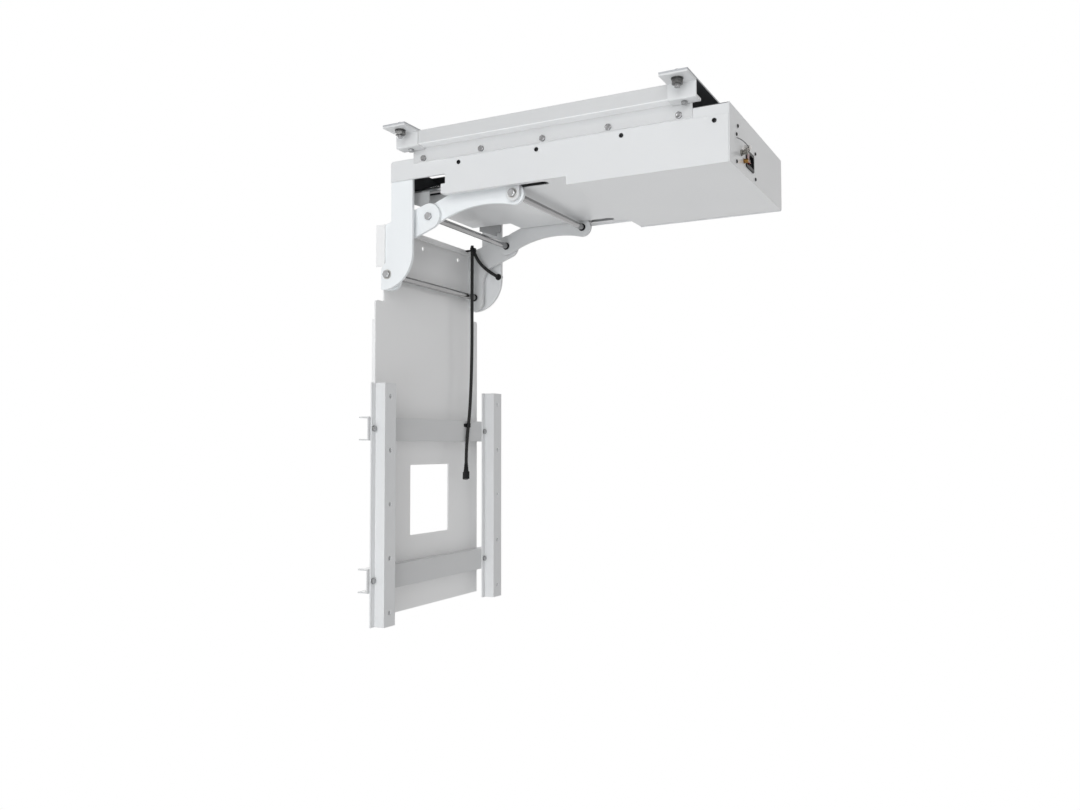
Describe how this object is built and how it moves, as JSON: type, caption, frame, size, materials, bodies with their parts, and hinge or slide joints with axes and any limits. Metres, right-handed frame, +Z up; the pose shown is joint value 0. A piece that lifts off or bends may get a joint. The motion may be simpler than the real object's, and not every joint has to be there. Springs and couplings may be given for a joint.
{
  "type": "motorized tv ceiling mount",
  "caption": "Motorized ceiling mount: a flat steel box on hanger rails drives curved arms that swing a screen column from hanging to flat under the ceiling.",
  "frame": {"origin": "centre of the four ceiling studs, in the plane of the ceiling", "axes": "+Z up; +Y from the connector end of the box towards the column; the screen looks along -Y; +X to the right of a viewer who faces the screen"},
  "size_m": [0.498, 0.72, 0.928],
  "materials": {
    "white_paint": "gloss powder coat",
    "dark_paint": "matt primer",
    "black_screw": "black oxide",
    "zinc_steel": "zinc plated",
    "ground_steel": "ground bright",
    "cast_aluminium": "as cast",
    "bronze": "sintered",
    "nickel": "nickel plated",
    "black_plastic": "moulded",
    "black_rubber": "soft PVC",
    "red_plastic": "glossy",
    "sheet_steel": "galvanised",
    "motor_paint": "satin"
  },
  "bodies": {
    "frame": {"ceiling_straps": "dark_paint", "hanger_brackets": "white_paint", "ceiling_studs": "zinc_steel", "ceiling_nuts": "zinc_steel", "hanger_rails": "white_paint", "rail_bolts": "zinc_steel", "frame_sides": "white_paint", "roof_panel": "dark_paint", "side_covers": "white_paint", "cover_screws": "black_screw", "rear_tray": "white_paint", "front_pan": "white_paint", "connector_plate": "white_paint", "port_screws": "black_screw", "power_inlet": "black_plastic", "antenna_jacks": "nickel", "rear_crossmember": "dark_paint", "middle_crossmember": "dark_paint", "front_crossmember": "dark_paint", "guide_rods": "ground_steel", "drop_plate_left": "white_paint", "drop_plate_right": "white_paint", "hip_bushes": "bronze", "actuator_gearbox": "cast_aluminium", "actuator_motor": "motor_paint", "actuator_tube": "cast_aluminium", "actuator_bracket": "white_paint", "actuator_pin": "zinc_steel", "power_supply": "sheet_steel", "control_board": "black_plastic", "lead_grommet": "black_rubber", "aerial_wire": "black_rubber"},
    "carriage": {"carriage_plate": "white_paint", "bearing_blocks": "cast_aluminium", "carriage_lugs": "white_paint", "carriage_bushes": "bronze", "actuator_ram": "ground_steel", "ram_bracket": "white_paint", "ram_pin": "zinc_steel"},
    "arms": {"arm_left": "white_paint", "arm_right": "white_paint", "carriage_shaft": "ground_steel", "carriage_bolts": "zinc_steel", "carriage_washers": "zinc_steel", "knuckle_shaft": "ground_steel"},
    "flip_frame": {"claw_left": "white_paint", "claw_right": "white_paint", "knuckle_bolts": "zinc_steel", "hip_shaft": "ground_steel", "hip_bolts": "zinc_steel", "hip_spacers": "ground_steel", "column": "white_paint", "cross_rails": "white_paint", "uprights": "white_paint", "upright_bolts": "zinc_steel", "power_lead": "black_rubber", "power_plug": "black_plastic", "lead_clips": "black_plastic", "lead_loop": "black_rubber"},
    "rocker": {"rocker_switch": "red_plastic"}
  },
  "joints": [
    {"name": "flip", "type": "hinge", "parent": "frame", "child": "flip_frame", "pos_m": [0, 0.3355, -0.259], "axis": [-1, 0, 0], "range_deg": [0, 90], "deforming": ["lead_loop"]},
    {"name": "carriage_slide", "type": "slide", "parent": "frame", "child": "carriage", "axis": [0, 1, 0], "range_m": [0, 0.1941]},
    {"name": "arm_pivot", "type": "hinge", "parent": "carriage", "child": "arms", "pos_m": [0, 0.07, -0.131], "axis": [-1, 0, 0], "range_deg": [0, 7.02]},
    {"name": "rocker_tilt", "type": "hinge", "parent": "frame", "child": "rocker", "pos_m": [-0.0715, -0.3315, -0.103], "axis": [1, 0, 0], "range_deg": [0, 16]}
  ],
  "couplings": [
    {"joint": "carriage_slide", "follows": "flip", "m_per_rad": 0.12353},
    {"joint": "arm_pivot", "follows": "flip", "ratio": 0.077938}
  ]
}
